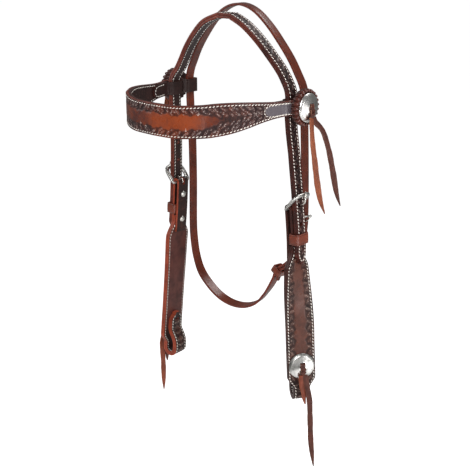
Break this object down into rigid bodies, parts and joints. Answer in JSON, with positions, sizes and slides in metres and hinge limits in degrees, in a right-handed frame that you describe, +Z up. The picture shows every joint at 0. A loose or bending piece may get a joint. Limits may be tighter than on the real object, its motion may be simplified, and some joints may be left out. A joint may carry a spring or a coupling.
{
  "type": "western headstall",
  "caption": "Western browband bridle headstall of stitched, tooled leather straps with buckled cheeks, throatlatch, rosettes, slotted conchos and lace ties.",
  "frame": {"origin": "middle of the level face under the top of the crown strap, where the headstall lies on the horse's poll", "axes": "+Z up, -Y forward towards the browband, +X towards the horse's near (left) side"},
  "size_m": [0.2868, 0.1861, 0.6123],
  "materials": {
    "tooled_leather": "hand-rubbed dark russet",
    "lining_leather": "dark plum-brown, matte",
    "plain_strap_leather": "smooth oiled russet",
    "lace_leather": "soft lace leather with pale edges",
    "engraved_silver": "polished silver plate",
    "nickel_plate": "polished nickel plate"
  },
  "bodies": {
    "browband": {"browband_lining": "lining_leather", "browband_outer": "tooled_leather", "far_browband_loop": "lining_leather", "far_rosette": "tooled_leather", "far_rosette_concho": "engraved_silver", "far_rosette_lace": "lace_leather", "far_rosette_lace_back_tail": "lace_leather", "far_rosette_lace_front_tail": "lace_leather", "near_browband_loop": "lining_leather", "near_rosette": "tooled_leather", "near_rosette_concho": "engraved_silver", "near_rosette_lace": "lace_leather", "near_rosette_lace_back_tail": "lace_leather", "near_rosette_lace_front_tail": "lace_leather"},
    "straps": {"crown_strap_lining": "lining_leather", "crown_strap_outer": "tooled_leather", "far_bit_concho": "engraved_silver", "far_bit_lace": "lace_leather", "far_bit_lace_back_tail": "lace_leather", "far_bit_lace_front_tail": "lace_leather", "far_cheek_lining": "lining_leather", "far_cheek_outer": "tooled_leather", "far_lower_cheek_screw": "nickel_plate", "far_upper_cheek_screw": "nickel_plate", "near_bit_concho": "engraved_silver", "near_bit_lace": "lace_leather", "near_bit_lace_back_tail": "lace_leather", "near_bit_lace_front_tail": "lace_leather", "near_cheek_lining": "lining_leather", "near_cheek_outer": "tooled_leather", "near_lower_cheek_screw": "nickel_plate", "near_upper_cheek_screw": "nickel_plate", "throatlatch_rivet": "nickel_plate", "throatlatch_strap": "plain_strap_leather"},
    "far_buckle": {"far_buckle_frame": "engraved_silver"},
    "far_tongue": {"far_buckle_tongue": "nickel_plate"},
    "far_keeper": {"far_cheek_keeper": "plain_strap_leather"},
    "near_buckle": {"near_buckle_frame": "engraved_silver"},
    "near_tongue": {"near_buckle_tongue": "nickel_plate"},
    "near_keeper": {"near_cheek_keeper": "plain_strap_leather"},
    "throat_buckle": {"throatlatch_buckle_frame": "engraved_silver"},
    "throat_tongue": {"throatlatch_buckle_tongue": "nickel_plate"},
    "throat_keeper": {"throatlatch_keeper": "plain_strap_leather"}
  },
  "joints": [
    {"name": "near_buckle_swing", "type": "hinge", "parent": "straps", "child": "near_buckle", "pos_m": [0.10006, 0.01287, -0.22965], "axis": [0, 1, 0], "range_deg": [-3, 0]},
    {"name": "near_tongue_swing", "type": "hinge", "parent": "straps", "child": "near_tongue", "pos_m": [0.10006, 0.01287, -0.22965], "axis": [0, 1, 0], "range_deg": [0, 3]},
    {"name": "far_buckle_swing", "type": "hinge", "parent": "straps", "child": "far_buckle", "pos_m": [-0.09713, 0.00809, -0.22965], "axis": [0, -1, 0], "range_deg": [-3, 0]},
    {"name": "far_tongue_swing", "type": "hinge", "parent": "straps", "child": "far_tongue", "pos_m": [-0.09713, 0.00809, -0.22965], "axis": [0, -1, 0], "range_deg": [0, 3]},
    {"name": "near_keeper_slide", "type": "slide", "parent": "straps", "child": "near_keeper", "axis": [-0.0565, 0, 0.9984], "range_m": [-0.002, 0.003]},
    {"name": "far_keeper_slide", "type": "slide", "parent": "straps", "child": "far_keeper", "axis": [0.0646, 0, 0.9979], "range_m": [-0.002, 0.003]},
    {"name": "throat_buckle_swing", "type": "hinge", "parent": "straps", "child": "throat_buckle", "pos_m": [0.09, 0.04202, -0.25844], "axis": [0, 0.9956, -0.0942], "range_deg": [-3, 0]},
    {"name": "throat_tongue_swing", "type": "hinge", "parent": "straps", "child": "throat_tongue", "pos_m": [0.09, 0.04202, -0.25844], "axis": [0, 0.9956, -0.0942], "range_deg": [0, 3]},
    {"name": "throat_keeper_slide", "type": "slide", "parent": "straps", "child": "throat_keeper", "axis": [0.5075, 0.0811, 0.8578], "range_m": [-0.001, 0.001]},
    {"name": "browband_slide", "type": "slide", "parent": "straps", "child": "browband", "axis": [0, 0, 1], "range_m": [-0.005, 0.002]}
  ]
}
